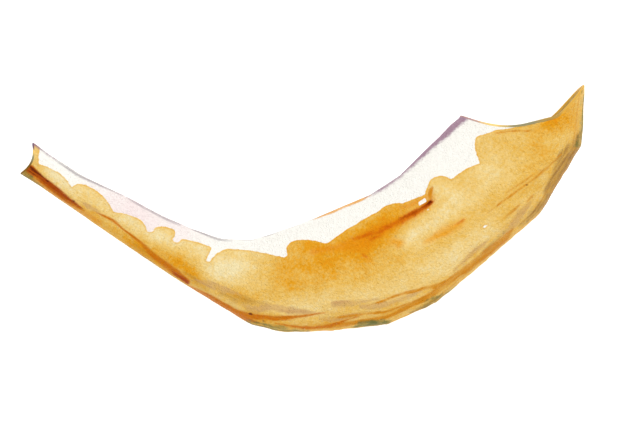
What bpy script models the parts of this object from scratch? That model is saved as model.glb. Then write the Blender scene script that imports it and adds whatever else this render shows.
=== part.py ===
"""A natural blowing horn: one hollow ram's horn, lying on its flat side.

Metres, +Z up. The horn's bend lies in the X-Y plane: the mouthpiece is at -X, the bell opens
towards +Y at the +X end, and the flat side of the horn rests on z = 0.

The horn is lofted through cross-sections. Every section runs from the inner edge of the bend
(across = 0) to its outer edge (across = 1), and the loft runs from the mouthpiece (along = 0)
to the bell's rim (along = 1).
"""

import bmesh
import bpy
import numpy as np

MM = 0.001

# Cross-sections from the mouthpiece to the bell, in millimetres:
# inner edge x, y; outer edge x, y; thickness from the flat side to the back of the horn.
SECTIONS = (
    (-139.5, 33.5, -146.0, 17.0, 14.0),
    (-131.0, 27.3, -138.0, 12.0, 14.5),
    (-115.0, 16.9, -123.0, 1.7, 16.0),
    (-89.5, 4.6, -99.0, -14.7, 18.0),
    (-72.5, -4.5, -82.5, -26.0, 20.0),
    (-58.0, -11.0, -64.5, -38.0, 22.5),
    (-42.0, -16.3, -45.0, -50.2, 25.5),
    (-27.0, -17.0, -26.5, -61.0, 29.0),
    (-16.5, -14.0, -10.0, -64.9, 31.5),
    (-1.0, -8.7, 16.5, -64.0, 34.5),
    (19.0, -0.5, 44.0, -61.0, 37.0),
    (35.0, 6.5, 69.0, -49.9, 38.5),
    (50.5, 16.5, 97.0, -26.3, 39.5),
    (66.0, 31.4, 124.0, -2.7, 40.5),
    (71.4, 36.8, 135.2, 15.9, 41.0),
    (76.5, 42.2, 144.8, 32.2, 41.5),
    (82.0, 47.0, 146.5, 63.1, 42.0),
)

STRAIGHTNESS = 0.2  # below 1 the horn runs straighter between the sections and bends more at them
STEM_LIFT = 9 * MM  # how far the mouthpiece end curves up off the flat side
LIFT_ENDS = 0.42  # share of the length over which the stem comes back down
WIDEST_HEIGHT = 0.42  # where a section is widest, as a share of its thickness
FLAT_FROM = 0.75  # how soon the underside turns flat: 1 is only at its middle
BACK_LEAN = 0.07  # how far the crown of the back leans to the outer edge
BACK_POWER = 0.86  # below 1 the back is fuller than an ellipse

# Scooped ends: how deep each end is hollowed, and over what share of the length it fades out.
MOUTH_SCOOP = 4.0 * MM
MOUTH_SCOOP_FADE = 0.10
BELL_SCOOP = 13.0 * MM
BELL_SCOOP_FADE = 0.42
BELL_SCOOP_FULL = 0.46  # share across from which the bell's scoop is at its full depth
BELL_TIP_FROM = 0.70  # share across where the rim starts to rise to its outer tip
BELL_TIP_POWER = 1.15

# Wall between the outer and inner skins, along the horn.
BELL_WALL = 2.4 * MM
BODY_WALL = 3.2 * MM
BORE_RADIUS = 3.9 * MM
BORE_ENDS = 0.20  # share of the length where the drilled bore opens into the hollow
HOLLOW_FULL = 0.52  # share of the length from which the wall has its body thickness
CUP_WALL = 1.7 * MM
CUP_ENDS = 0.05  # share of the length where the mouthpiece cup has narrowed to the bore

OUTER_RINGS = 64
INNER_RINGS = 48
RING_POINTS = 24
LIP_RINGS = 3

HORN_COLOUR = (0.78, 0.47, 0.17, 1.0)


def clear_scene():
    for existing in list(bpy.data.objects):
        bpy.data.objects.remove(existing, do_unlink=True)


def smooth_step(value):
    value = np.clip(value, 0.0, 1.0)
    return value * value * (3.0 - 2.0 * value)


def section_at(along):
    """The inner edge, outer edge and thickness at a share of the length, on a smooth curve."""
    rows = np.array(SECTIONS) * MM
    middle = (rows[:, 0:2] + rows[:, 2:4]) / 2
    steps = np.linalg.norm(np.diff(middle, axis=0), axis=1)
    stations = np.concatenate(([0.0], np.cumsum(steps)))
    stations /= stations[-1]
    slopes = STRAIGHTNESS * np.gradient(rows, stations, axis=0)
    first = int(np.clip(np.searchsorted(stations, along, side="right") - 1, 0, len(rows) - 2))
    gap = stations[first + 1] - stations[first]
    part = (along - stations[first]) / gap
    start_weight = (1 + 2 * part) * (1 - part) ** 2
    end_weight = part**2 * (3 - 2 * part)
    start_slope = part * (1 - part) ** 2 * gap
    end_slope = part**2 * (part - 1) * gap
    row = (
        start_weight * rows[first]
        + end_weight * rows[first + 1]
        + start_slope * slopes[first]
        + end_slope * slopes[first + 1]
    )
    return row[0:2], row[2:4], row[4]


def mouth_scoop(across):
    """The hollow of the mouthpiece end: 0 at both edges and 1 in the middle."""
    return 4 * across * (1 - across)


def bell_scoop(across):
    """The hollow of the bell's rim, with a long pointed tip at the outer edge."""
    rise = 1 - (1 - np.clip(across / BELL_SCOOP_FULL, 0, 1)) ** 2
    tip = np.clip((across - BELL_TIP_FROM) / (1 - BELL_TIP_FROM), 0, 1) ** BELL_TIP_POWER
    return rise * (1 - tip)


def place(along, across, height):
    """A point of the horn in world space, from its share along, share across and height."""
    inner, outer, _ = section_at(along)
    chord = outer - inner
    forward = np.array((-chord[1], chord[0])) / np.linalg.norm(chord)
    bell_fade = smooth_step((along - 1 + BELL_SCOOP_FADE) / BELL_SCOOP_FADE)
    mouth_fade = smooth_step((MOUTH_SCOOP_FADE - along) / MOUTH_SCOOP_FADE)
    inward = MOUTH_SCOOP * mouth_fade * mouth_scoop(across)
    inward -= BELL_SCOOP * bell_fade * bell_scoop(across)
    flat = inner + across[:, None] * chord + inward[:, None] * forward
    lift = STEM_LIFT * (1 - smooth_step(along / LIFT_ENDS))
    return np.column_stack((flat, height + lift))


def outline(thickness):
    """One section's outline as shares across and heights, from the outer edge over the back."""
    turn = np.linspace(0, 2 * np.pi, RING_POINTS, endpoint=False)
    across = 0.5 + 0.5 * np.cos(turn)
    rise = np.abs(np.sin(turn))
    widest = WIDEST_HEIGHT * thickness
    back = widest + (thickness - widest) * rise**BACK_POWER
    underside = widest * np.clip(1 - rise / FLAT_FROM, 0, 1) ** 2
    over_back = np.sin(turn) > 0
    height = np.where(over_back, back, underside)
    lean = BACK_LEAN * rise**2 * over_back
    return across + lean, height


def inner_shares(along, width, thickness):
    """How much of the outer section the hollow takes, across and in height."""
    body_wall = BODY_WALL + (BELL_WALL - BODY_WALL) * smooth_step(along)
    hollow = np.array((1 - 2 * body_wall / width, 1 - 2 * body_wall / thickness))
    bore = np.array((2 * BORE_RADIUS / width, 2 * BORE_RADIUS / thickness))
    cup = np.array((1 - 2 * CUP_WALL / width, 1 - 2 * CUP_WALL / thickness))
    opened = smooth_step((along - BORE_ENDS) / (HOLLOW_FULL - BORE_ENDS))
    cupped = 1 - smooth_step(along / CUP_ENDS)
    shares = bore + (hollow - bore) * opened
    return shares + (cup - shares) * cupped


def ring(along, inside):
    """One ring of points on the outer skin (inside = 0), the inner skin (1) or between."""
    inner, outer, thickness = section_at(along)
    width = np.linalg.norm(outer - inner)
    across, height = outline(thickness)
    shares = 1 + (inner_shares(along, width, thickness) - 1) * inside
    across = 0.5 + (across - 0.5) * shares[0]
    height = thickness / 2 + (height - thickness / 2) * shares[1]
    return place(along, across, height)


def lip(along, outward):
    """Rings that round the cut edge over, from the outer skin to the inner skin."""
    rings = []
    for number in range(1, LIP_RINGS + 1):
        turn = np.pi * number / (LIP_RINGS + 1)
        bulge = outward * BELL_WALL / 2 * np.sin(turn)
        points = ring(along, (1 - np.cos(turn)) / 2)
        inner, outer, _ = section_at(along)
        chord = outer - inner
        forward = np.array((-chord[1], chord[0])) / np.linalg.norm(chord)
        points[:, 0:2] += forward * bulge
        rings.append(points)
    return rings


def horn_rings():
    """Every ring in order: up the outer skin, over the bell's lip, down the hollow, and out."""
    rings = [ring(along, 0.0) for along in np.linspace(0, 1, OUTER_RINGS)]
    rings += lip(1.0, 1.0)
    rings += [ring(along, 1.0) for along in np.linspace(1, 0, INNER_RINGS)]
    rings += lip(0.0, -1.0)[::-1]
    return rings


def centred(rings):
    """The rings moved so that the horn's box is centred on the origin in plan."""
    points = np.concatenate(rings)
    centre = (points.min(axis=0) + points.max(axis=0)) / 2
    centre[2] = 0.0
    return [points - centre for points in rings]


def horn_material():
    material = bpy.data.materials.new("horn")
    material.use_nodes = True
    shader = material.node_tree.nodes["Principled BSDF"]
    shader.inputs["Base Color"].default_value = HORN_COLOUR
    shader.inputs["Roughness"].default_value = 0.42
    shader.inputs["Metallic"].default_value = 0.0
    return material


def make_horn():
    shape = bmesh.new()
    loops = [[shape.verts.new(point) for point in points] for points in centred(horn_rings())]
    for number, loop in enumerate(loops):
        following = loops[(number + 1) % len(loops)]
        for place_in_ring in range(RING_POINTS):
            beside = (place_in_ring + 1) % RING_POINTS
            corners = (loop[place_in_ring], loop[beside], following[beside], following[place_in_ring])
            shape.faces.new(corners)
    bmesh.ops.recalc_face_normals(shape, faces=shape.faces)
    mesh = bpy.data.meshes.new("horn")
    shape.to_mesh(mesh)
    shape.free()
    mesh.shade_smooth()
    mesh.materials.append(horn_material())
    horn = bpy.data.objects.new("horn", mesh)
    bpy.context.collection.objects.link(horn)
    return horn


clear_scene()
make_horn()
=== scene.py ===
"""The looks of a natural ram's horn blowing horn that lies on its flat side.

The horn is one piece. Its skin is lofted again here, finely, through the sections that the
CAD solid has, and gets the growth ridges, the lengthwise grooves and the worn rims that the
plain solid leaves out. Its colour is painted by nodes over fields that are stored on the
mesh: the distance to each edge, the ivory side, partly a painted highlight, the amber washes
and the dark streaks, some of which are painted shade along the edges.

Plan positions are in millimetres in the horn's own frame: x from the mouthpiece end to the
bell, y towards the bell's opening.
"""

import math

import bpy
import numpy as np
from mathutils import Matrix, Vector


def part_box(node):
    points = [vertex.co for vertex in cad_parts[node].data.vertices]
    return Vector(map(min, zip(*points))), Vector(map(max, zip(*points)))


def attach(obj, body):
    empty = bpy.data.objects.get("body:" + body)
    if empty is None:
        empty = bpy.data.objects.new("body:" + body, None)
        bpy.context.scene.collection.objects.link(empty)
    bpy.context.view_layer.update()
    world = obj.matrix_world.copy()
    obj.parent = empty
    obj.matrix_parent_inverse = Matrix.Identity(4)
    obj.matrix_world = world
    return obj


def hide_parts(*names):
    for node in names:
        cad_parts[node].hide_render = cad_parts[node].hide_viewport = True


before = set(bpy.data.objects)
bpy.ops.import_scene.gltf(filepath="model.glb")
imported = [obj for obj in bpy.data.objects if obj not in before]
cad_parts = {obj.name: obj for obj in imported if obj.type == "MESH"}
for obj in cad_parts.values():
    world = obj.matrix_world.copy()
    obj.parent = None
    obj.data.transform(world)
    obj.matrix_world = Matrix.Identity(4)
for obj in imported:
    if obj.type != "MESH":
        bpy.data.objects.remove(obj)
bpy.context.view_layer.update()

MM = 0.001

# The horn's sections from the mouthpiece to the bell, as in the CAD solid, in millimetres:
# inner edge x, y; outer edge x, y; thickness.
SECTIONS = (
    (-139.5, 33.5, -146.0, 17.0, 14.0),
    (-131.0, 27.3, -138.0, 12.0, 14.5),
    (-115.0, 16.9, -123.0, 1.7, 16.0),
    (-89.5, 4.6, -99.0, -14.7, 18.0),
    (-72.5, -4.5, -82.5, -26.0, 20.0),
    (-58.0, -11.0, -64.5, -38.0, 22.5),
    (-42.0, -16.3, -45.0, -50.2, 25.5),
    (-27.0, -17.0, -26.5, -61.0, 29.0),
    (-16.5, -14.0, -10.0, -64.9, 31.5),
    (-1.0, -8.7, 16.5, -64.0, 34.5),
    (19.0, -0.5, 44.0, -61.0, 37.0),
    (35.0, 6.5, 69.0, -49.9, 38.5),
    (50.5, 16.5, 97.0, -26.3, 39.5),
    (66.0, 31.4, 124.0, -2.7, 40.5),
    (71.4, 36.8, 135.2, 15.9, 41.0),
    (76.5, 42.2, 144.8, 32.2, 41.5),
    (82.0, 47.0, 146.5, 63.1, 42.0),
)

STRAIGHTNESS = 0.2  # below 1 the horn runs straighter between the sections and bends more at them
STEM_LIFT = 9 * MM  # how far the mouthpiece end curves up off the flat side
LIFT_ENDS = 0.42  # share of the length over which the stem comes back down
WIDEST_HEIGHT = 0.42  # where a section is widest, as a share of its thickness
FLAT_FROM = 0.75  # how soon the underside turns flat: 1 is only at its middle
BACK_LEAN = 0.07  # how far the crown of the back leans to the outer edge
BACK_POWER = 0.86  # below 1 the back is fuller than an ellipse

# Scooped ends: how deep each end is hollowed, and over what share of the length it fades out.
MOUTH_SCOOP = 4.0 * MM
MOUTH_SCOOP_FADE = 0.10
BELL_SCOOP = 13.0 * MM
BELL_SCOOP_FADE = 0.42
BELL_SCOOP_FULL = 0.46  # share across from which the bell's scoop is at its full depth
BELL_TIP_FROM = 0.70  # share across where the rim starts to rise to its outer tip
BELL_TIP_POWER = 1.15

# Wall between the outer and inner skins, along the horn.
BELL_WALL = 2.4 * MM
BODY_WALL = 3.2 * MM
BORE_RADIUS = 3.9 * MM
BORE_ENDS = 0.20  # share of the length where the drilled bore opens into the hollow
HOLLOW_FULL = 0.52  # share of the length from which the wall has its body thickness
CUP_WALL = 1.7 * MM
CUP_ENDS = 0.05  # share of the length where the mouthpiece cup has narrowed to the bore

# The horn's surfaces, each the number of its material.
OUTER = 0
RIM = 1
INSIDE = 2

# The fine skin's rings and the points round each ring.
OUTER_RINGS = 400
INNER_RINGS = 96
LIP_RINGS = 7
BACK_POINTS = 116
UNDERSIDE_POINTS = 60

# The horn's relief, in millimetres. The ridges and grooves are strongest on the horn's body.
RIDGE_HEIGHT = 0.26
SIDE_RIDGE_HEIGHT = 0.1
SWELL_HEIGHT = 0.2
# Lengthwise grooves: distance from the outer edge, depth, half width and seed of their wander.
GROOVES = ((4.5, 0.30, 1.3, 21), (8.0, 0.22, 1.1, 23), (12.5, 0.16, 1.4, 25))
# Marks that lie a little lower than the skin round them: the kind of streak, how deep, how far
# outside the streak the dent starts, and over what distance it gets to its full depth.
DENTS = (("burnt", 0.30, 0.6, 2.0), ("russet", 0.22, 0.5, 1.6), ("amber", 0.25, 1.0, 3.0))
RELIEF_FADE_AT_MOUTH = 0.03  # share of the length over which the relief starts
RELIEF_FADE_AT_BELL = 0.02
RELIEF_FADE_LOW = 4 * MM  # height above a ring's lowest point over which the relief starts

# The paint's plan positions are as seen from the middle of the view, from this height above
# the horn's widest line, so that a mark on the high back lands where it is drawn.
VIEW_CENTRE = (4.2, -1.02)
VIEW_HEIGHT = 1209.0
WIDEST_LINE = 16.0
PAINT_RISE = 0.58  # how far the paint's plan positions lie below the horn's own, in y

# The ivory side is partly the horn's own pale colour and partly a painted highlight on the inner side
# of the back.
# The edge of the ivory side, from the mouthpiece to the bell, as a chain of arcs:
# each arc's end x, y and how far it bulges towards the ivory, in millimetres.
IVORY_EDGE = (
    (-137.0, 22.5, 0.0),
    (-119.5, 10.5, 2.3),
    (-114.0, 12.0, 1.0),
    (-105.0, 7.0, 0.8),
    (-98.0, -2.5, 0.9),
    (-85.5, -5.5, 0.8),
    (-80.5, -12.0, 1.0),
    (-77.5, -12.5, -0.4),
    (-74.0, -10.0, 0.9),
    (-66.5, -11.5, 0.5),
    (-67.5, -16.5, 1.1),
    (-62.5, -16.5, -1.7),
    (-48.5, -20.0, 0.4),
    (-47.5, -22.5, 0.8),
    (-50.0, -27.5, 0.0),
    (-47.5, -28.0, -0.4),
    (-38.5, -21.5, 1.4),
    (-10.0, -26.0, 1.0),
    (-7.5, -25.0, -0.3),
    (-8.0, -20.5, 0.0),
    (-3.0, -17.0, 0.8),
    (12.5, -18.9, 0.9),
    (17.2, -15.8, -0.2),
    (40.5, -1.5, 0.5),
    (52.5, 2.0, 1.7),
    (64.0, 6.5, 0.2),
    (67.0, 14.5, 0.4),
    (77.5, 14.5, 1.9),
    (92.6, 23.1, 0.8),
    (89.8, 32.2, 0.4),
    (90.2, 36.1, 0.2),
    (94.6, 38.1, 0.4),
    (101.0, 40.3, 0.1),
    (121.0, 44.2, -0.5),
)
# The rest of the ivory side's outline, well outside the horn.
IVORY_OUTSIDE = ((120.0, 75.0), (-40.0, 75.0), (-160.0, 75.0), (-136.0, 36.0))
# Bare chips: one beside the dark streak, and two flecks.
IVORY_CHIPS = (
    ((60.6, 2.7), (63.9, 4.9), (64.8, 3.2), (61.0, 0.9)),
    ((64.6, -1.6), (66.2, -0.4), (66.6, -1.4)),
    ((93.2, -10.8), (95.2, -9.0), (96.6, -9.2), (95.2, -10.6)),
)
ARC_STEPS = 6  # straight runs in each arc of the ivory edge
CURVE_STEPS = 6  # straight runs between two points of a streak

# Soft washes: centre x, y, radii, turn in degrees, and how far they lighten (+) or deepen (-).
WASHES = (
    (38.0, -11.0, 25, 8, 27, -0.8),
    (-1.0, -31.5, 18, 13, 0, -0.36),
    (26.5, -30.5, 33, 9, 12, -0.34),
    (4.0, -20.0, 11, 4, 0, -0.45),
    (0.0, -36.0, 6, 3, 0, 0.35),
    (-64.5, -28.5, 13, 5, -28, -0.48),
    (-54.5, -36.0, 7, 4, -35, -0.55),
    (-40.0, -31.5, 15, 7, 0, 0.85),
    (-30.0, -40.0, 16, 5, -15, 0.15),
    (-33.0, -46.0, 9, 3, -20, -0.25),
    (-28.0, -23.0, 12, 2.5, 0, 0.3),
    (-21.0, -58.0, 13, 4, -8, -0.4),
    (14.0, -61.5, 14, 3, 0, -0.3),
    (-2.0, -52.0, 22, 6, -5, 0.45),
    (55.0, -14.0, 12, 4, 28, 0.2),
    (31.0, -22.0, 11, 5, 25, -0.3),
    (60.0, -19.5, 9, 3.5, 28, 0.2),
    (72.0, -14.0, 15, 4, 32, 0.1),
    (92.0, -16.0, 14, 6, 35, 0.35),
    (-104.0, -9.0, 14, 3, -37, -0.3),
    (-81.0, -24.0, 16, 3, -38, -0.5),
    (72.0, -29.5, 23, 7, 32, 0.45),
    (25.0, -46.0, 26, 4, 3, 0.3),
    (94.5, 18.5, 12, 7, 10, 0.4),
    (112.0, 10.0, 12, 6, 35, -0.2),
    (88.0, 4.0, 12, 6, 30, 0.25),
    (72.0, 10.0, 8, 4, 0, 0.25),
    (114.0, 29.0, 10, 6, 0, -0.25),
    (101.0, 28.0, 5, 5, 0, 0.25),
    (134.0, 46.5, 13, 8, 40, -0.35),
    (131.0, 46.5, 9, 3, 35, -0.35),
    (-126.0, 15.5, 11, 5, -38, 0.95),
    (-107.0, 4.0, 10, 5, -38, 0.55),
    (-92.0, -6.0, 10, 5, -35, 0.4),
    (-80.0, -12.5, 10, 4, -20, 0.35),
    (-71.0, -15.5, 9, 5, -20, 0.6),
    (-56.0, -20.5, 10, 5, -18, 0.6),
    (67.0, -8.5, 14, 5, 30, 0.45),
    (55.5, -14.5, 8, 4, 25, 0.25),
    (134.0, 41.0, 7, 5, 0, -0.12),
    (-16.0, -47.0, 9, 3, -8, -0.3),
    (76.5, 4.0, 12, 8, 30, 0.3),
    (45.0, -32.0, 26, 5, 20, 0.1),
)

# Streaks of each kind: the lines that they follow, as x, y and half the width there.
STREAKS = {
    # Painted grey shade along the outer edge, where the side turns away.
    "grey_shade": (
        ((-113.4, 1.6, 1.0), (-108.0, -1.6, 1.3), (-102.4, -5.6, 0.2)),
        ((-56.0, -37.5, 0.3), (-48.0, -40.2, 1.8), (-40.0, -43.0, 1.6), (-32.0, -45.5, 0.3)),
        ((-31.0, -50.5, 0.4), (-25.0, -53.2, 1.8), (-16.0, -51.8, 1.4), (-4.0, -53.6, 1.6),
         (9.0, -55.3, 0.4)),
        ((16.5, -50.5, 1.6), (26.0, -50.0, 1.4), (41.0, -47.5, 0.1)),
        ((30.5, -51.5, 0.8), (37.0, -51.5, 1.6), (46.0, -50.0, 1.4), (58.0, -45.5, 1.0),
         (66.0, -41.5, 0.1)),
        ((9.0, -58.0, 0.4), (17.0, -58.2, 1.4), (25.0, -56.4, 0.9), (34.0, -54.4, 0.1)),
        ((104.0, -15.0, 0.3), (109.0, -10.4, 1.5), (113.6, -4.0, 2.1), (118.6, 2.6, 0.9)),
        ((79.0, -33.0, 0.1), (85.0, -27.4, 0.9), (92.0, -21.2, 1.1), (97.5, -16.6, 0.2)),
    ),
    # Painted tan shade along the outer edge of the stem and the bend.
    "tan": (
        ((-42.0, -44.6, 0.4), (-34.0, -47.2, 2.0), (-25.0, -49.6, 1.2), (-18.0, -51.0, 0.2)),
        ((-61.0, -33.6, 0.2), (-55.0, -38.0, 1.2), (-49.0, -42.4, 0.3)),
        ((-87.0, -19.0, 0.2), (-78.0, -25.4, 0.8), (-70.0, -30.6, 0.2)),
    ),
    # Painted brown shade along the bell's outer edge.
    "umber": (
        ((113.0, -9.5, 0.3), (120.5, -3.0, 1.6), (128.5, 5.5, 1.8), (133.0, 14.0, 0.8)),
        ((125.5, 2.0, 0.3), (132.6, 14.8, 3.8), (138.6, 26.4, 4.4), (142.6, 34.6, 2.2),
         (145.0, 40.0, 0.2)),
        ((90.0, -27.5, 0.2), (98.0, -20.5, 1.2), (106.0, -12.5, 0.3)),
    ),
    "contour": (
        ((6.0, -62.7, 0.1), (20.0, -61.4, 0.8), (33.0, -59.0, 1.0), (44.0, -57.0, 0.9),
         (53.6, -52.6, 1.0), (62.2, -48.2, 1.4), (69.2, -44.0, 1.4), (76.0, -39.0, 0.3)),
        ((14.5, -57.5, 0.1), (24.0, -56.8, 0.8), (34.0, -55.2, 0.4), (45.0, -54.2, 0.7),
         (56.0, -49.6, 0.1)),
        ((34.0, -51.0, 0.1), (41.0, -49.0, 0.5), (49.2, -45.9, 0.7), (62.4, -42.6, 0.9),
         (73.5, -39.8, 1.4), (81.3, -35.0, 1.4), (89.1, -29.0, 1.6), (101.0, -19.6, 1.9),
         (106.8, -14.8, 1.4), (110.5, -10.8, 0.2)),
        ((56.0, -55.6, 0.1), (66.0, -50.2, 0.6), (76.0, -43.6, 0.1)),
        ((96.0, -3.0, 0.1), (107.0, 5.0, 0.35), (116.0, 11.5, 0.35), (126.5, 19.5, 0.6),
         (135.0, 27.5, 0.1)),
        ((106.0, 7.5, 0.1), (116.0, 14.0, 0.25), (124.0, 19.5, 0.1)),
        ((103.0, -7.3, 0.2), (108.5, -2.7, 0.7), (113.4, 1.7, 0.2)),
        ((117.0, 3.0, 0.2), (120.1, 6.0, 0.6)),
        ((100.0, 38.6, 0.1), (111.0, 39.8, 0.4), (122.0, 39.6, 0.1)),
        ((66.6, 5.0, 0.7), (66.8, 8.5, 1.0), (68.0, 10.5, 0.3)),
    ),
    "amber": (
        ((14.5, -22.0, 1.2), (30.0, -17.6, 3.4), (46.0, -9.4, 2.8), (60.0, -2.4, 1.8), (67.0, 3.2, 1.6),
         (66.0, 8.5, 1.0)),
        ((50.0, 0.0, 0.2), (57.0, 1.6, 1.2), (65.5, 6.5, 1.0)),
        ((31.0, -17.3, 1.6), (36.0, -18.4, 1.2)),
        ((32.2, -24.5, 1.4), (34.5, -27.0, 1.2)),
        ((6.0, -22.6, 1.4), (13.0, -21.4, 1.6), (22.0, -20.6, 0.8)),
        ((-142.0, 17.0, 3.0), (-131.0, 8.5, 3.2), (-118.0, -0.5, 2.2), (-105.0, -8.0, 0.5)),
    ),
    "gold": (
        ((64.0, -17.8, 0.2), (70.0, -15.0, 1.6), (76.0, -11.8, 2.8), (81.0, -9.0, 2.4),
         (84.0, -6.8, 1.0)),
        ((45.0, -17.4, 1.4), (50.2, -18.6, 2.0)),
    ),
    "rust": (
        ((27.5, -16.4, 0.1), (33.5, -14.6, 1.1), (38.0, -13.2, 0.8), (44.5, -10.2, 1.1),
         (53.0, -5.8, 1.1), (60.0, -2.0, 1.3), (64.4, 1.0, 1.2), (66.6, 2.8, 0.6)),
        ((33.5, -15.5, 0.2), (37.5, -15.6, 0.6), (42.0, -13.0, 0.1)),
        ((79.6, -9.0, 0.1), (82.2, -7.4, 0.7), (83.8, -6.2, 0.4)),
        ((31.8, -24.6, 0.2), (33.6, -26.2, 0.4)),
    ),
    "russet": (
        ((-141.2, 19.8, 2.4), (-134.8, 13.9, 1.8), (-128.0, 8.0, 1.7), (-121.1, 2.8, 1.4),
         (-113.0, -2.0, 0.3)),
        ((-108.0, -2.5, 0.2), (-98.8, -6.5, 0.8), (-92.0, -12.1, 0.6), (-84.2, -18.4, 0.9),
         (-76.4, -25.7, 1.4), (-67.6, -32.3, 1.8), (-59.5, -38.4, 1.2)),
        ((-38.0, -52.2, 0.2), (-29.0, -55.7, 1.1), (-20.0, -57.4, 1.3), (-6.0, -57.4, 1.0),
         (12.0, -54.6, 0.1)),
        ((-59.0, -40.8, 0.3), (-48.0, -47.0, 1.4), (-38.0, -53.0, 1.7), (-29.0, -58.0, 1.3),
         (-22.0, -60.0, 0.1)),
        ((-14.0, -60.2, 0.1), (-3.0, -62.2, 0.6), (10.0, -62.4, 0.8), (19.0, -60.2, 0.7),
         (30.0, -56.5, 0.1)),
    ),
    "burnt": (
        ((-142.2, 20.0, 2.3), (-137.4, 16.6, 1.8), (-132.3, 12.6, 1.6), (-127.0, 8.4, 1.5),
         (-121.7, 4.2, 1.2), (-114.5, -0.6, 0.5)),
        ((50.0, -6.8, 0.1), (56.0, -3.8, 0.4), (62.5, -0.2, 0.6), (65.0, 1.5, 0.9), (66.9, 3.0, 0.8)),
        ((-67.6, -33.3, 0.3), (-62.8, -36.8, 0.8), (-59.7, -39.2, 0.9)),
    ),
    "ink": (
        ((-141.6, 21.4, 0.2), (-139.8, 19.6, 0.7), (-136.5, 17.2, 0.6), (-134.0, 15.0, 0.1)),
        ((-142.6, 19.4, 0.2), (-140.4, 17.8, 0.4), (-137.4, 15.6, 0.1)),
        ((-133.2, 13.9, 0.2), (-132.4, 13.3, 0.5)),
        ((-119.4, 3.6, 0.3), (-118.6, 3.0, 0.5)),
        ((63.5, 0.4, 0.1), (65.6, 2.0, 0.3), (67.0, 3.1, 0.5)),
        ((-27.2, -55.5, 0.7), (-26.5, -55.6, 0.8)),
        ((-20.2, -59.2, 0.3), (-19.4, -59.4, 0.5)),
        ((116.9, 11.6, 0.4), (117.2, 11.7, 0.4)),
        ((48.6, -15.0, 0.3), (49.2, -14.8, 0.3)),
        ((51.2, -13.6, 0.25), (51.6, -13.5, 0.25)),
        ((58.6, -4.0, 0.25), (59.0, -3.8, 0.25)),
    ),
    "olive": (
        ((-145.5, 17.5, 3.2), (-142.0, 15.2, 2.2), (-138.0, 11.4, 1.3), (-132.0, 7.0, 0.1)),
        ((-94.0, -18.5, 0.1), (-80.0, -28.3, 0.8), (-62.0, -39.5, 0.1)),
        ((-31.0, -59.2, 0.5), (-23.0, -61.4, 1.8), (-12.0, -63.6, 1.5), (4.0, -64.4, 0.1)),
        ((26.0, -63.0, 0.1), (31.0, -61.4, 1.5), (41.5, -60.4, 1.7), (46.5, -59.4, 0.4)),
        ((52.0, -58.4, 0.1), (62.0, -52.9, 1.2), (68.8, -48.8, 2.1), (74.0, -45.6, 1.0),
         (82.0, -39.5, 0.1)),
        ((141.0, 31.5, 0.3), (144.0, 33.5, 1.4), (145.5, 40.0, 1.0), (146.6, 58.0, 0.3)),
        ((135.5, 51.5, 0.1), (140.0, 55.5, 0.6), (145.0, 60.5, 0.6)),
    ),
    "trim": (
        ((6.0, -6.0, 0.1), (15.0, -2.6, 0.7), (22.0, 0.4, 0.5), (30.0, 3.9, 0.8), (36.0, 6.8, 0.1)),
    ),
    "slate": (
        ((-140.0, 34.0, 1.2), (-137.0, 31.2, 0.4), (-131.0, 26.2, 0.1)),
        ((-129.0, 25.2, 0.1), (-122.0, 20.4, 0.5), (-116.0, 16.6, 0.6), (-106.0, 12.0, 0.6),
         (-97.0, 8.0, 0.1)),
        ((-91.0, 5.2, 0.1), (-86.0, 2.4, 0.5), (-79.0, -1.6, 0.3), (-70.0, -6.2, 0.5),
         (-63.0, -9.6, 0.1)),
        ((-57.0, -11.6, 0.1), (-50.0, -14.2, 0.5), (-43.0, -16.8, 0.5), (-36.0, -17.4, 0.1)),
    ),
    # Painted lilac shade along the inner edge, at the bell and at the mouthpiece.
    "lilac": (
        ((33.0, 5.2, 0.4), (45.0, 12.0, 1.1), (56.0, 21.5, 1.6), (68.0, 33.5, 2.7), (79.0, 44.5, 3.8),
         (83.0, 48.0, 4.0)),
        ((-141.5, 34.5, 1.4), (-137.0, 31.5, 0.8), (-128.0, 25.0, 0.1)),
    ),
}
FADE_OUT = 12.0  # millimetres from a streak at which its field stops falling
# A streak narrows down the horn's steep side, by this many millimetres for each thickness of
# the horn, from this share of the thickness above the widest line. Some kinds narrow more slowly.
SIDE_FADE = 14.0
SIDE_FADE_FROM = 0.12
SLOWER_SIDE_FADES = {
    "amber": 8.0,
    "tan": 8.0,
    "umber": 2.0,
    "contour": 10.0,
    "russet": 7.0,
    "olive": 8.0,
    "lilac": 10.0,
    "slate": 10.0,
    "trim": 10.0,
}
UNDERSIDE_FADE = 24.0  # how much faster a streak narrows below the widest line

# Two coordinates round a ring, which grow to about the horn's own size in millimetres: side
# from the inner to the outer edge, and lift from the flat side to the back.
SIDE_SPAN = 40.0
LIFT_SPAN = 30.0


def smooth_step(value):
    value = np.clip(value, 0.0, 1.0)
    return value * value * (3.0 - 2.0 * value)


# The horn's shape -----------------------------------------------------------------------------


def sections_at(along):
    """Inner edges, outer edges and thicknesses at an array of shares of the length."""
    rows = np.array(SECTIONS) * MM
    middle = (rows[:, 0:2] + rows[:, 2:4]) / 2
    steps = np.linalg.norm(np.diff(middle, axis=0), axis=1)
    stations = np.concatenate(([0.0], np.cumsum(steps)))
    stations /= stations[-1]
    slopes = STRAIGHTNESS * np.gradient(rows, stations, axis=0)
    first = np.clip(np.searchsorted(stations, along, side="right") - 1, 0, len(rows) - 2)
    gap = (stations[first + 1] - stations[first])[:, None]
    part = (along - stations[first])[:, None] / gap
    row = (
        (1 + 2 * part) * (1 - part) ** 2 * rows[first]
        + part**2 * (3 - 2 * part) * rows[first + 1]
        + part * (1 - part) ** 2 * gap * slopes[first]
        + part**2 * (part - 1) * gap * slopes[first + 1]
    )
    return row[:, 0:2], row[:, 2:4], row[:, 4]


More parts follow.
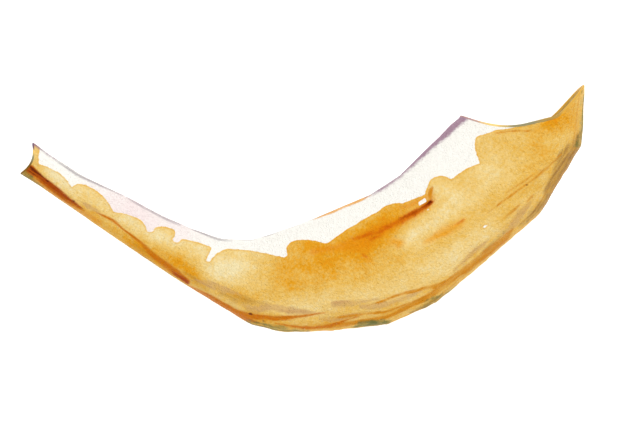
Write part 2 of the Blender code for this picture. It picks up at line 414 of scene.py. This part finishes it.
def length_of_horn():
    """The length of the horn's middle line, in millimetres."""
    inner, outer, _ = sections_at(np.linspace(0, 1, 200))
    return np.linalg.norm(np.diff((inner + outer) / 2, axis=0), axis=1).sum() / MM


HORN_LENGTH = length_of_horn()


def mouth_scoop(across):
    """The hollow of the mouthpiece end: 0 at both edges and 1 in the middle."""
    return 4 * across * (1 - across)


def bell_scoop(across):
    """The hollow of the bell's rim, with a long pointed tip at the outer edge."""
    rise = 1 - (1 - np.clip(across / BELL_SCOOP_FULL, 0, 1)) ** 2
    tip = np.clip((across - BELL_TIP_FROM) / (1 - BELL_TIP_FROM), 0, 1) ** BELL_TIP_POWER
    return rise * (1 - tip)


def turns():
    """The angles of a ring's points, closer together over the back than on the underside."""
    back = np.linspace(0, math.pi, BACK_POINTS, endpoint=False)
    underside = np.linspace(math.pi, 2 * math.pi, UNDERSIDE_POINTS, endpoint=False)
    return np.concatenate((back, underside))


def outline(thickness):
    """The rings' outlines as shares across and heights, from the outer edge over the back."""
    turn = turns()
    rise = np.abs(np.sin(turn))
    over_back = np.sin(turn) > 0
    across = 0.5 + 0.5 * np.cos(turn) + BACK_LEAN * rise**2 * over_back
    widest = WIDEST_HEIGHT * thickness[:, None]
    back = widest + (thickness[:, None] - widest) * rise**BACK_POWER
    underside = widest * np.clip(1 - rise / FLAT_FROM, 0, 1) ** 2
    return across, np.where(over_back, back, underside)


def inner_share(along, size):
    """How much of the outer section's size the hollow takes, at each share of the length."""
    body_wall = BODY_WALL + (BELL_WALL - BODY_WALL) * smooth_step(along)
    opened = smooth_step((along - BORE_ENDS) / (HOLLOW_FULL - BORE_ENDS))
    cupped = 1 - smooth_step(along / CUP_ENDS)
    bore = 2 * BORE_RADIUS / size
    share = bore + (1 - 2 * body_wall / size - bore) * opened
    return share + (1 - 2 * CUP_WALL / size - share) * cupped


def stem_lift(along):
    """How high the stem's underside is off the table, with one row for each share along."""
    return STEM_LIFT * (1 - smooth_step(along / LIFT_ENDS))[:, None]


def skin(along, inside, forward_shift):
    """Rings of points, one row for each share along, and their shares across.

    inside is 0 on the outer skin and 1 on the inner skin. forward_shift moves a whole ring
    towards the bell.
    """
    inner, outer, thickness = sections_at(along)
    chord = outer - inner
    width = np.linalg.norm(chord, axis=1)
    forward = np.column_stack((-chord[:, 1], chord[:, 0])) / width[:, None]

    across, height = outline(thickness)
    share_across = (1 + (inner_share(along, width) - 1) * inside)[:, None]
    share_up = (1 + (inner_share(along, thickness) - 1) * inside)[:, None]
    across = 0.5 + (across[None, :] - 0.5) * share_across
    middle = thickness[:, None] / 2
    height = middle + (height - middle) * share_up

    bell_fade = smooth_step((along - 1 + BELL_SCOOP_FADE) / BELL_SCOOP_FADE)[:, None]
    mouth_fade = smooth_step((MOUTH_SCOOP_FADE - along) / MOUTH_SCOOP_FADE)[:, None]
    shift = MOUTH_SCOOP * mouth_fade * mouth_scoop(across)
    shift -= BELL_SCOOP * bell_fade * bell_scoop(across)
    shift += np.asarray(forward_shift).reshape(-1, 1)
    plan = inner[:, None, :] + across[:, :, None] * chord[:, None, :]
    plan = plan + shift[:, :, None] * forward[:, None, :]
    return np.dstack((plan, height + stem_lift(along))), across


def lip_rings(end, outward):
    """The rings that round the cut edge at one end over, from the outer to the inner skin."""
    turn = math.pi * np.arange(1, LIP_RINGS + 1) / (LIP_RINGS + 1)
    along = np.full(LIP_RINGS, float(end))
    return skin(along, (1 - np.cos(turn)) / 2, outward * BELL_WALL / 2 * np.sin(turn)) + (along,)


def horn_grid():
    """All rings as one grid that closes on itself, with each point's shares and its surface."""
    up = np.linspace(0, 1, OUTER_RINGS)
    down = np.linspace(1, 0, INNER_RINGS)
    outer_points, outer_across = skin(up, np.zeros(OUTER_RINGS), 0.0)
    inner_points, inner_across = skin(down, np.ones(INNER_RINGS), 0.0)
    bell_points, bell_across, bell_along = lip_rings(1, 1)
    mouth_points, mouth_across, mouth_along = lip_rings(0, -1)
    points = np.concatenate((outer_points, bell_points, inner_points, mouth_points[::-1]))
    across = np.concatenate((outer_across, bell_across, inner_across, mouth_across[::-1]))
    along = np.concatenate((up, bell_along, down, mouth_along))
    ring_counts = (OUTER_RINGS, LIP_RINGS, INNER_RINGS, LIP_RINGS)
    surface = np.repeat((OUTER, RIM, INSIDE, RIM), ring_counts)
    low = points.reshape(-1, 3).min(axis=0)
    high = points.reshape(-1, 3).max(axis=0)
    cad_low, cad_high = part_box("horn")
    for axis in (0, 1):
        points[:, :, axis] += (cad_low[axis] + cad_high[axis] - low[axis] - high[axis]) / 2
    return points, across, along, surface


def grid_normals(points):
    """The outward normal at each point of the closed grid."""
    round_ring = np.roll(points, -1, axis=1) - np.roll(points, 1, axis=1)
    along_horn = np.roll(points, -1, axis=0) - np.roll(points, 1, axis=0)
    normal = np.cross(along_horn, round_ring)
    length = np.linalg.norm(normal, axis=2, keepdims=True)
    return normal / np.maximum(length, 1e-12)


# Fields over the horn ---------------------------------------------------------------------------


def waves(values, seed, octaves=4):
    """A smooth wandering value from -1 to 1 along one number, the same on every run."""
    numbers = np.random.default_rng(seed)
    total = np.zeros_like(values)
    weight = 0.0
    for octave in range(octaves):
        strength = 0.6**octave
        phase = numbers.uniform(0, 2 * math.pi)
        pitch = 2.0**octave * numbers.uniform(0.85, 1.15)
        total += strength * np.sin(values * pitch + phase)
        weight += strength
    return total / weight


def distance_to_line(x, y, line):
    """Distance to a line of straight runs, and the half width that the line has there."""
    best = np.full(x.shape, 1e9)
    width = np.zeros(x.shape)
    for (x0, y0, w0), (x1, y1, w1) in zip(line[:-1], line[1:]):
        run = np.array((x1 - x0, y1 - y0))
        part = np.clip(((x - x0) * run[0] + (y - y0) * run[1]) / (run @ run), 0, 1)
        distance = np.hypot(x - x0 - part * run[0], y - y0 - part * run[1])
        nearer = distance < best
        best = np.where(nearer, distance, best)
        width = np.where(nearer, w0 + part * (w1 - w0), width)
    return best, width


def smooth_line(line):
    """A line through the same points with its corners rounded."""
    points = np.array(line)
    if len(points) < 3:
        return [tuple(point) for point in points]
    padded = np.vstack((2 * points[0] - points[1], points, 2 * points[-1] - points[-2]))
    rounded = []
    for number in range(1, len(padded) - 2):
        before, start, end, after = padded[number - 1 : number + 3]
        for part in np.linspace(0, 1, CURVE_STEPS, endpoint=False):
            rounded.append(
                0.5 * (2 * start + (end - before) * part
                       + (2 * before - 5 * start + 4 * end - after) * part**2
                       + (3 * start - before - 3 * end + after) * part**3)
            )
    rounded.append(points[-1])
    return [tuple(point) for point in rounded]


def streak_field(x, y, lines):
    """How far inside the nearest of the streaks a point is, in millimetres: negative outside."""
    field = np.full(x.shape, -FADE_OUT)
    for line in lines:
        distance, width = distance_to_line(x, y, smooth_line(line))
        field = np.maximum(field, width - distance)
    return field


def wash_field(x, y):
    """The sum of the soft washes."""
    field = np.zeros(x.shape)
    for centre_x, centre_y, long_radius, short_radius, degrees, depth in WASHES:
        turn = math.radians(degrees)
        lengthwise = (x - centre_x) * math.cos(turn) + (y - centre_y) * math.sin(turn)
        sideways = (y - centre_y) * math.cos(turn) - (x - centre_x) * math.sin(turn)
        field += depth * np.exp(-((lengthwise / long_radius) ** 2) - (sideways / short_radius) ** 2)
    return field


def arc_points(start, end, bulge):
    """Points along a shallow arc, without its start."""
    part = np.arange(1, ARC_STEPS + 1) / ARC_STEPS
    run = np.array(end) - np.array(start)
    left = np.array((-run[1], run[0])) / np.linalg.norm(run)
    rise = bulge * 4 * part * (1 - part)
    return np.array(start) + part[:, None] * run + rise[:, None] * left


def ivory_outline():
    """The ivory side's closed outline: its scalloped edge, and a loop well outside the horn."""
    outline = [np.array([IVORY_EDGE[0][0:2]])]
    for (x0, y0, _), (x1, y1, bulge) in zip(IVORY_EDGE[:-1], IVORY_EDGE[1:]):
        outline.append(arc_points((x0, y0), (x1, y1), bulge))
    outline.append(np.array(IVORY_OUTSIDE))
    return np.concatenate(outline)


def patch_field(x, y, outline):
    """How far inside a closed outline a point is, in millimetres: negative outside."""
    closed = np.vstack((outline, outline[:1]))
    line = [(px, py, 0.0) for px, py in closed]
    distance, _ = distance_to_line(x, y, line)
    inside = np.zeros(x.shape, bool)
    for (x0, y0), (x1, y1) in zip(closed[:-1], closed[1:]):
        if y0 == y1:
            continue
        crosses = (y0 > y) != (y1 > y)
        inside ^= crosses & (x < x0 + (y - y0) * (x1 - x0) / (y1 - y0))
    return np.where(inside, distance, -distance)


def distance_from_outer_edge(across, along):
    """The plan distance from each point to the outer edge of the bend, in millimetres."""
    inner, outer, _ = sections_at(along)
    width = np.linalg.norm(outer - inner, axis=1)[:, None] / MM
    return (1 - np.clip(across, 0, 1)) * width


def outer_relief(across, along, fields):
    """The outer skin's relief in millimetres: growth ridges, lengthwise grooves and streaks."""
    length = fields["length"]
    body = 0.25 + 0.75 * smooth_step((along - 0.25) / 0.35)[:, None]
    wander = 2.0 * waves(across * 5.0, 3) + 0.4 * waves(length * 0.05, 5)
    ridges = 0.5 * waves(length * 0.42 + wander, 7)
    ridges += 0.15 * waves(length * 1.1 + 1.6 * wander, 9, 2)
    worn_smooth = 1 - 0.7 * smooth_step((fields["ivory"] + 2) / 4)
    relief = RIDGE_HEIGHT * body * ridges * worn_smooth
    outer_side = smooth_step((across - 0.72) / 0.2)
    side_ridges = np.sin(length * 0.85 + 1.5 * wander + 1.2 * waves(length * 0.2, 13))
    relief += SIDE_RIDGE_HEIGHT * body * outer_side * side_ridges
    for offset, depth, width, seed in GROOVES:
        line = offset + 1.2 * waves(length * 0.045, seed)
        relief -= depth * body * np.exp(-(((fields["from_outer"] - line) / width) ** 2))
    relief += SWELL_HEIGHT * waves(length * 0.09 + 3 * across, 31, 2) * body
    for name, depth, starts, full in DENTS:
        relief -= depth * smooth_step((fields[name] + starts) / full)
    return relief


def horn_fields(points, across, along):
    """Every field that the relief and the materials read, each as one number for each point."""
    height = points[:, :, 2] / MM
    nearer = VIEW_HEIGHT / (VIEW_HEIGHT - (height - WIDEST_LINE))
    x = VIEW_CENTRE[0] + (points[:, :, 0] / MM - VIEW_CENTRE[0]) * nearer
    y = VIEW_CENTRE[1] + (points[:, :, 1] / MM - VIEW_CENTRE[1]) * nearer - PAINT_RISE
    thickness = sections_at(along)[2][:, None] / MM
    over_flat = height - stem_lift(along) / MM
    over_widest = over_flat - WIDEST_HEIGHT * thickness

    fields = {}
    down_the_side = np.maximum(SIDE_FADE_FROM - over_widest / thickness, 0)
    below_widest = np.maximum(-over_widest / thickness, 0)
    for name, lines in STREAKS.items():
        fade = SLOWER_SIDE_FADES.get(name, SIDE_FADE) * down_the_side
        fields[name] = streak_field(x, y, lines) - fade - UNDERSIDE_FADE * below_widest
    outlines = [ivory_outline(), *(np.array(chip) for chip in IVORY_CHIPS)]
    fields["ivory"] = np.max([patch_field(x, y, outline) for outline in outlines], axis=0)
    fields["wash"] = wash_field(x, y)
    fields["from_outer"] = distance_from_outer_edge(across, along)
    fields["over_widest"] = over_widest
    fields["length"] = HORN_LENGTH * along[:, None] * np.ones_like(across)
    fields["side"] = SIDE_SPAN * across
    fields["lift"] = LIFT_SPAN * over_flat / thickness
    return fields


def with_relief(points, across, along, surface, fields):
    """The grid's points with the relief added to the outer skin, away from its edges."""
    height = points[:, :, 2]
    ends = smooth_step(along / RELIEF_FADE_AT_MOUTH)
    ends = ends * smooth_step((1 - along) / RELIEF_FADE_AT_BELL)
    above_flat = smooth_step((height - height.min(axis=1, keepdims=True)) / RELIEF_FADE_LOW)
    outer_skin = surface == OUTER
    relief = outer_relief(across, along, fields)
    relief = relief * ends[:, None] * above_flat * outer_skin[:, None]
    points = points + grid_normals(points) * (relief * MM)[:, :, None]
    points[outer_skin, :, 2] = np.maximum(points[outer_skin, :, 2], 0.0)
    return points


def grid_faces(rings, ring_points):
    """The closed grid's four-sided faces, ring by ring."""
    numbers = np.arange(rings * ring_points).reshape(rings, ring_points)
    ahead = np.roll(numbers, -1, axis=0)
    beside = np.roll(numbers, -1, axis=1)
    ahead_beside = np.roll(ahead, -1, axis=1)
    return np.stack((numbers, beside, ahead_beside, ahead), axis=2).reshape(-1, 4)


def make_horn():
    points, across, along, surface = horn_grid()
    fields = horn_fields(points, across, along)
    points = with_relief(points, across, along, surface, fields)

    rings, ring_points = across.shape
    face_surface = np.maximum(surface, np.roll(surface, -1))
    face_surface[np.roll(surface, -1) == RIM] = RIM
    face_surface[surface == RIM] = RIM

    mesh = bpy.data.meshes.new("horn_skin")
    mesh.from_pydata(points.reshape(-1, 3).tolist(), [], grid_faces(rings, ring_points).tolist())
    for name, values in fields.items():
        attribute = mesh.attributes.new(name, "FLOAT", "POINT")
        attribute.data.foreach_set("value", values.astype(np.float32).ravel())
    for material in (outer_material(), rim_material(), inside_material()):
        mesh.materials.append(material)
    materials = np.repeat(face_surface, ring_points).astype(np.int32)
    mesh.polygons.foreach_set("material_index", materials)
    mesh.shade_smooth()
    mesh.update()
    horn = bpy.data.objects.new("horn_skin", mesh)
    bpy.context.collection.objects.link(horn)
    return horn


# Materials --------------------------------------------------------------------------------------

LIGHT = 1.36  # how much light the stage sends onto a level surface
SHEEN = 0.006  # how much of it any colour sends back unchanged


def colour(red, green, blue, light=LIGHT):
    """The paint that shows as this 0 to 255 colour under that much of the stage's light."""
    linear = []
    for value in (red, green, blue):
        share = value / 255
        shown = share / 12.92 if share <= 0.04045 else ((share + 0.055) / 1.055) ** 2.4
        linear.append(max(shown - SHEEN, 0.0) / light)
    return (*linear, 1.0)


class Nodes:
    """A material's node tree, with short calls for the nodes that these materials use."""

    def __init__(self, name):
        self.material = bpy.data.materials.new(name)
        self.material.use_nodes = True
        self.tree = self.material.node_tree
        self.shader = self.tree.nodes["Principled BSDF"]
        self.textures = {}  # the noises that ragged() adds, by name

    def add(self, kind, **settings):
        node = self.tree.nodes.new(kind)
        for name, value in settings.items():
            setattr(node, name, value)
        return node

    def put(self, value, socket):
        """Links a socket, or sets a plain value."""
        if isinstance(value, bpy.types.NodeSocket):
            self.tree.links.new(value, socket)
        else:
            socket.default_value = value

    def surface(self, name, value):
        """Links or sets one of the surface shader's inputs."""
        self.put(value, self.shader.inputs[name])

    def bump(self, height, distance, strength):
        node = self.add("ShaderNodeBump")
        node.inputs["Strength"].default_value = strength
        node.inputs["Distance"].default_value = distance
        self.put(height, node.inputs["Height"])
        self.surface("Normal", node.outputs["Normal"])

    def field(self, name):
        return self.add("ShaderNodeAttribute", attribute_name=name).outputs["Fac"]

    def math(self, operation, first, second=0.0):
        node = self.add("ShaderNodeMath", operation=operation)
        self.put(first, node.inputs[0])
        self.put(second, node.inputs[1])
        return node.outputs[0]

    def position(self):
        return self.add("ShaderNodeTexCoord").outputs["Object"]

    def along_fibres(self, long_pitch, short_pitch):
        """A texture position whose marks run along the horn, with pitches in millimetres."""
        node = self.add("ShaderNodeCombineXYZ")
        self.put(self.math("DIVIDE", self.field("length"), long_pitch), node.inputs["X"])
        self.put(self.math("DIVIDE", self.field("side"), short_pitch), node.inputs["Y"])
        self.put(self.math("DIVIDE", self.field("lift"), short_pitch), node.inputs["Z"])
        return node.outputs[0]

    def noise(self, pitch, detail=3.0, where=None):
        """Noise from about -1 to 1, with marks of about that many millimetres."""
        node = self.add("ShaderNodeTexNoise")
        self.put(where or self.position(), node.inputs["Vector"])
        node.inputs["Scale"].default_value = 1.0 if where else 1000.0 / pitch
        node.inputs["Detail"].default_value = detail
        node.inputs["Roughness"].default_value = 0.58
        return self.math("MULTIPLY", self.math("SUBTRACT", node.outputs["Fac"], 0.5), 4.0)

    def fibres(self, long_pitch, short_pitch, detail=3.0):
        return self.noise(1.0, detail, self.along_fibres(long_pitch, short_pitch))

    def step(self, value, low, high):
        """0 below low, 1 above high, and smooth between."""
        node = self.add("ShaderNodeMapRange", interpolation_type="SMOOTHSTEP")
        self.put(value, node.inputs["Value"])
        node.inputs["From Min"].default_value = low
        node.inputs["From Max"].default_value = high
        return node.outputs["Result"]

    def step_down(self, value, low, high):
        """1 below low, 0 above high, and smooth between."""
        return self.math("SUBTRACT", 1.0, self.step(value, low, high))

    def band(self, value, middle, half_width, soft):
        """1 where a value is within half_width of the middle."""
        away = self.math("ABSOLUTE", self.math("SUBTRACT", value, middle))
        return self.step(self.math("MULTIPLY", away, -1.0), -half_width - soft, -half_width + soft)

    def ramp(self, value, stops):
        node = self.add("ShaderNodeValToRGB")
        while len(node.color_ramp.elements) < len(stops):
            node.color_ramp.elements.new(0.5)
        for element, (place, shade) in zip(node.color_ramp.elements, stops):
            element.position = place
            element.color = shade
        self.put(value, node.inputs["Fac"])
        return node.outputs["Color"]

    def mix(self, share, under, over):
        node = self.add("ShaderNodeMix", data_type="RGBA")
        self.put(share, node.inputs[0])
        self.put(under, node.inputs[6])
        self.put(over, node.inputs[7])
        return node.outputs[2]

    def times(self, *values):
        product = values[0]
        for value in values[1:]:
            product = self.math("MULTIPLY", product, value)
        return product

    def plus(self, *values):
        total = values[0]
        for value in values[1:]:
            total = self.math("ADD", total, value)
        return total

    def ragged(self, value, **weights):
        """A value with the material's textures added, each by its weight."""
        for name, weight in weights.items():
            value = self.plus(value, self.times(self.textures[name], weight))
        return value


# The ivory side: pale horn, partly a painted highlight.
IVORY = colour(249, 246, 238, 1.23)
IVORY_PINK = colour(246, 229, 227, 1.26)
PALE = colour(250, 232, 180)
STRAW = colour(247, 213, 136)
OCHRE = colour(240, 193, 96)
AMBER = colour(236, 165, 38)
DEEP_AMBER = colour(234, 140, 6)
OXBLOOD = colour(96, 30, 10)
GOLD = colour(243, 170, 54)
RUST = colour(216, 108, 0)
RUSSET = colour(212, 120, 2)
BURNT = colour(176, 76, 0)
# The next three colours are painted shade along the outer edge.
TAN_SHADE = colour(192, 136, 46)
GREY_SHADE = colour(212, 166, 106)
UMBER_SHADE = colour(168, 120, 54)
CONTOUR = colour(218, 142, 32)
OLIVE = colour(116, 116, 56)
# Painted shade along the inner edge.
LILAC_SHADE = colour(166, 128, 150)
INK = colour(98, 72, 98)
STEEL = colour(132, 132, 104)
HONEY = colour(220, 170, 72)
# Painted olive shade towards the bell's tip, on the rim and in the hollow.
OLIVE_SHADE = colour(186, 144, 60)
# Painted shade round the outer half of the mouthpiece's rim.
MOUTH_SHADE = colour(104, 72, 26)
# The hollow's own brown, and the painted shade deep inside it.
HOLLOW_BROWN = colour(186, 130, 66)
HOLLOW_SHADE = colour(74, 42, 22)

# How each kind of streak is painted, from the first to the last: its colour, how much of it
# covers, how soft and how ragged its edge is in millimetres, and how much the fibres break it.
STREAK_LOOKS = (
    ("amber", DEEP_AMBER, 0.5, 1.9, 0.9, 0.3),
    # The next three kinds are painted shade along the outer edge.
    ("tan", TAN_SHADE, 0.6, 2.0, 1.0, 0.6),
    ("grey_shade", GREY_SHADE, 0.6, 0.7, 0.7, 0.7),
    ("umber", UMBER_SHADE, 0.74, 1.4, 1.1, 0.9),
    ("contour", CONTOUR, 0.85, 0.6, 0.6, 0.8),
    ("gold", GOLD, 0.85, 2.0, 1.4, 0.8),
    ("rust", RUST, 0.88, 1.0, 1.1, 0.8),
    ("russet", RUSSET, 0.92, 0.6, 0.5, 0.5),
    ("burnt", BURNT, 0.95, 0.8, 0.5, 0.35),
    ("ink", OXBLOOD, 0.85, 0.35, 0.3, 0.3),
    ("olive", OLIVE, 0.68, 0.9, 1.0, 1.1),
)
# The streaks along the inner edge, over the ivory: colour, the millimetres outside and inside
# the streak between which it fades in, how much of it covers, and the textures on its edge.
INNER_EDGE_LOOKS = (
    ("trim", GOLD, -0.7, 0.3, 0.9, {"fine": 0.15, "fibres": 0.25}),
    ("slate", INK, -0.7, 1.0, 0.7, {"fine": 0.15, "fibres": 0.3}),
    # The lilac streak is painted shade along the inner edge.
    ("lilac", LILAC_SHADE, -0.9, 1.5, 0.95, {"fine": 0.6, "mottle": 0.6}),
)
# The rims' colours from the inner to the outer edge: each colour, where on the side
# coordinate it starts and is full, and how much of it covers.
RIM_LOOKS = (
    (STEEL, 9.0, 15.0, 0.9),
    # The olive colour here is painted shade.
    (OLIVE_SHADE, 20.0, 26.0, 0.85),
    (HONEY, 28.0, 32.0, 0.95),
)

# Places along the horn's length, in millimetres, where a look fades in or out.
GROWTH_LINES_START = (110.0, 150.0)
PINK_STARTS = (25.0, 50.0)
PINK_ENDS = (85.0, 115.0)
STEEL_EDGE_STARTS = (HORN_LENGTH - 1.4, HORN_LENGTH - 0.5)
MOUTH_ENDS = (2.0, 6.0)
HOLLOW_LIGHTENS = (150.0, 315.0)
HOLLOW_TIP_STARTS = (300.0, 314.0)


def body_colour(nodes):
    """The washes, from deep amber to pale straw, with fine growth lines by the outer edge."""
    near_edge = nodes.step_down(nodes.field("from_outer"), 4.0, 14.0)
    body = nodes.step(nodes.field("length"), *GROWTH_LINES_START)
    lines = nodes.step(nodes.fibres(46.0, 1.7, 2.0), 0.1, 0.75)
    tone = nodes.plus(0.56, nodes.times(nodes.field("wash"), 0.5))
    tone = nodes.ragged(tone, blotches=0.12, mottle=0.09, fibres=0.05, fine=0.14)
    # Painted shade: the tone deepens a little towards the outer edge.
    tone = nodes.plus(tone, nodes.times(near_edge, -0.04))
    stops = ((0.0, DEEP_AMBER), (0.25, AMBER), (0.5, OCHRE), (0.75, STRAW), (1.0, PALE))
    return nodes.mix(nodes.times(near_edge, body, lines, 0.5), nodes.ramp(tone, stops), CONTOUR)


def with_streaks(nodes, painted):
    """The streaks of every kind over the body's colour."""
    for name, shade, cover, soft, ragged, broken in STREAK_LOOKS:
        edge = nodes.ragged(
            nodes.field(name), mottle=0.6 * ragged, fine=0.5 * ragged, fibres=0.6 * ragged)
        strength = nodes.ragged(cover, fibres=0.5 * broken, mottle=0.3 * broken)
        strength.node.use_clamp = True
        painted = nodes.mix(nodes.times(nodes.step(edge, -soft, soft), strength), painted, shade)
    return painted


def with_ivory(nodes, painted):
    """The ivory side, pale horn with a painted highlight, pinkish on the stem, with pigment gathered
    along its edge.
    """
    edge = nodes.ragged(nodes.field("ivory"), fine=0.16, mottle=0.3)
    gathered = nodes.times(nodes.band(edge, -0.5, 0.25, 0.3), 0.4)
    painted = nodes.mix(gathered, painted, AMBER)
    length = nodes.field("length")
    on_stem = nodes.times(nodes.step(length, *PINK_STARTS), nodes.step_down(length, *PINK_ENDS))
    pinkish = nodes.times(on_stem, nodes.ragged(0.75, blotches=0.3))
    return nodes.mix(nodes.step(edge, -0.14, 0.14), painted, nodes.mix(pinkish, IVORY, IVORY_PINK))


def with_edge_lines(nodes, painted):
    """Thin broken lines of darker pigment along the widest line, on both sides of the bend."""
    height = nodes.ragged(nodes.field("over_widest"), fine=0.15)
    side = nodes.field("side")
    broken = nodes.step(nodes.ragged(nodes.noise(18.0, 3.0), fibres=0.4), -0.7, 0.7)
    inner_line = nodes.times(
        nodes.band(height, 1.9, 1.5, 1.5), nodes.step_down(side, 6.0, 12.0), broken, 0.8)
    shade = nodes.mix(nodes.step(nodes.field("trim"), -0.6, 0.6), INK, CONTOUR)
    painted = nodes.mix(inner_line, painted, shade)
    streaky = nodes.step(nodes.textures["fibres"], -1.0, 0.6)
    outer_line = nodes.times(
        nodes.band(height, 0.8, 1.6, 1.4), nodes.step(side, 28.0, 34.0), streaky, 0.45)
    return nodes.mix(outer_line, painted, OLIVE)


def with_inner_edge(nodes, painted):
    """The steel tint at the middle of the bell's rim, and the streaks along the inner edge, the lilac
    one painted shade.
    """
    at_rim = nodes.step(nodes.ragged(nodes.field("length"), fine=0.3), *STEEL_EDGE_STARTS)
    middle_of_rim = nodes.band(nodes.field("side"), 22.0, 5.0, 3.0)
    painted = nodes.mix(nodes.times(at_rim, middle_of_rim, 0.75), painted, STEEL)
    for name, shade, outside, inside, cover, textures in INNER_EDGE_LOOKS:
        edge = nodes.ragged(nodes.field(name), **textures)
        painted = nodes.mix(nodes.times(nodes.step(edge, outside, inside), cover), painted, shade)
    return painted


def outer_material():
    """The outer skin: washes, streaks among which some are painted shade, the ivory side with its
    painted highlight, and the dark edges, with a fine grain.
    """
    nodes = Nodes("horn_outside")
    nodes.textures = {
        "blotches": nodes.noise(16.0, 4.0),
        "mottle": nodes.noise(5.0, 4.0),
        "fine": nodes.noise(1.5, 3.0),
        "fibres": nodes.fibres(28.0, 2.4),
    }
    painted = with_streaks(nodes, body_colour(nodes))
    painted = with_edge_lines(nodes, with_ivory(nodes, painted))
    nodes.surface("Base Color", with_inner_edge(nodes, painted))
    nodes.surface("Roughness", nodes.plus(0.46, nodes.times(nodes.noise(25.0, 3.0), 0.06)))
    nodes.surface("Specular IOR Level", 0.04)
    grain = nodes.plus(nodes.noise(0.9, 2.0), nodes.times(nodes.fibres(20.0, 1.1), 0.18))
    nodes.bump(grain, distance=0.00034, strength=1.0)
    return nodes.material


def rim_material():
    """The cut rims: steel and honey, with painted shade in lilac at the inner corner, in olive between
    the middle and the outer edge, and in dark brown round the mouth.
    """
    nodes = Nodes("horn_rim")
    nodes.textures = {"layers": nodes.noise(3.0, 3.0), "blotches": nodes.noise(9.0, 4.0)}
    tone = nodes.ragged(0.5, layers=0.14, blotches=0.14)
    shade = nodes.ramp(tone, ((0.0, CONTOUR), (0.3, OCHRE), (0.6, STRAW), (0.9, PALE)))
    side = nodes.ragged(nodes.field("side"), blotches=2.0)
    for over, starts, full, cover in RIM_LOOKS:
        shade = nodes.mix(nodes.times(nodes.step(side, starts, full), cover), shade, over)
    # Painted lilac shade at the inner corner of both rims.
    shade = nodes.mix(nodes.times(nodes.step_down(side, 4.0, 8.0), 0.8), shade, LILAC_SHADE)
    # Painted shade round the mouthpiece's rim: dark brown over its outer half and dark purple in its
    # inner corner.
    at_mouth = nodes.step_down(nodes.field("length"), *MOUTH_ENDS)
    outer_half = nodes.step(side, 16.0, 26.0)
    shade = nodes.mix(nodes.times(at_mouth, outer_half, 0.8), shade, MOUTH_SHADE)
    inner_corner = nodes.step_down(side, 3.0, 9.0)
    shade = nodes.mix(nodes.times(at_mouth, inner_corner, 0.9), shade, INK)
    nodes.surface("Base Color", shade)
    nodes.surface("Roughness", 0.45)
    nodes.surface("Specular IOR Level", 0.05)
    return nodes.material


def inside_material():
    """The hollow: straw by the bell, its own brown further in darkened by painted shade with depth,
    with painted olive shade by the bell's tip and streaks along the horn.
    """
    nodes = Nodes("horn_inside")
    nodes.textures = {"streaks": nodes.fibres(40.0, 1.6), "blotches": nodes.noise(12.0, 4.0)}
    length = nodes.field("length")
    # Painted shade: the hollow darkens the further it is from the bell.
    depth = nodes.step_down(length, *HOLLOW_LIGHTENS)
    tone = nodes.ragged(nodes.times(depth, 0.9), streaks=0.12, blotches=0.1)
    stops = ((0.0, PALE), (0.2, STRAW), (0.5, HOLLOW_BROWN), (0.95, HOLLOW_SHADE))
    shade = nodes.ramp(nodes.plus(tone, 0.08), stops)
    # Painted olive shade on the hollow by the bell's tip, where it is seen through the mouth.
    by_tip = nodes.times(
        nodes.step(nodes.field("side"), 26.0, 34.0), nodes.step(length, *HOLLOW_TIP_STARTS))
    shade = nodes.mix(nodes.times(by_tip, nodes.ragged(0.75, streaks=0.25)), shade, OLIVE_SHADE)
    nodes.surface("Base Color", shade)
    nodes.surface("Roughness", 0.62)
    nodes.surface("Specular IOR Level", 0.1)
    marks = nodes.plus(nodes.textures["streaks"], nodes.textures["blotches"])
    nodes.bump(marks, distance=0.0002, strength=0.5)
    return nodes.material


def floor_material():
    """A white table that glows a little, so that shadows on it stay light."""
    nodes = Nodes("floor_white")
    nodes.surface("Base Color", (0.92, 0.92, 0.92, 1.0))
    nodes.surface("Emission Color", (1.0, 1.0, 1.0, 1.0))
    nodes.surface("Emission Strength", 0.35)
    nodes.surface("Roughness", 0.9)
    nodes.surface("Specular IOR Level", 0.1)
    return nodes.material


# The stage --------------------------------------------------------------------------------------

LENS = 135.0
SENSOR = 36.0
FLOOR_SIZE = 8.0
LIGHT_SIZE = 1.0
# The lights: name, power in watts, and place in metres.
LIGHTS = (
    ("key", 16.5, (0.35, 1.0, 1.5)),
    ("fill", 7.5, (0.1, -1.0, 1.5)),
)


def make_floor():
    horn_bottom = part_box("horn")[0][2]
    bpy.ops.mesh.primitive_plane_add(size=FLOOR_SIZE, location=(0, 0, horn_bottom))
    floor = bpy.context.object
    floor.name = "floor"
    floor.data.materials.append(floor_material())


def make_camera():
    data = bpy.data.cameras.new("camera")
    data.lens = LENS
    data.sensor_width = SENSOR
    data.clip_end = 50.0
    camera = bpy.data.objects.new("camera", data)
    x, y = VIEW_CENTRE
    camera.location = (x * MM, y * MM, (WIDEST_LINE + VIEW_HEIGHT) * MM)
    bpy.context.collection.objects.link(camera)
    bpy.context.scene.camera = camera


def make_light(name, power, place):
    """A square light that faces the horn."""
    data = bpy.data.lights.new(name, "AREA")
    data.shape = "SQUARE"
    data.size = LIGHT_SIZE
    data.energy = power
    light = bpy.data.objects.new(name, data)
    light.location = place
    light.rotation_euler = Vector(place).to_track_quat("Z", "Y").to_euler()
    bpy.context.collection.objects.link(light)


def make_world():
    world = bpy.data.worlds.new("studio")
    world.use_nodes = True
    background = world.node_tree.nodes["Background"]
    background.inputs["Color"].default_value = (1.0, 1.0, 1.0, 1.0)
    background.inputs["Strength"].default_value = 1.0
    bpy.context.scene.world = world


def make_stage():
    make_floor()
    make_world()
    for name, power, place in LIGHTS:
        make_light(name, power, place)
    make_camera()
    bpy.context.scene.view_settings.view_transform = "Standard"
    bpy.context.scene.view_settings.look = "None"


horn_skin = make_horn()
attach(horn_skin, "root")
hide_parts("horn")
make_stage()
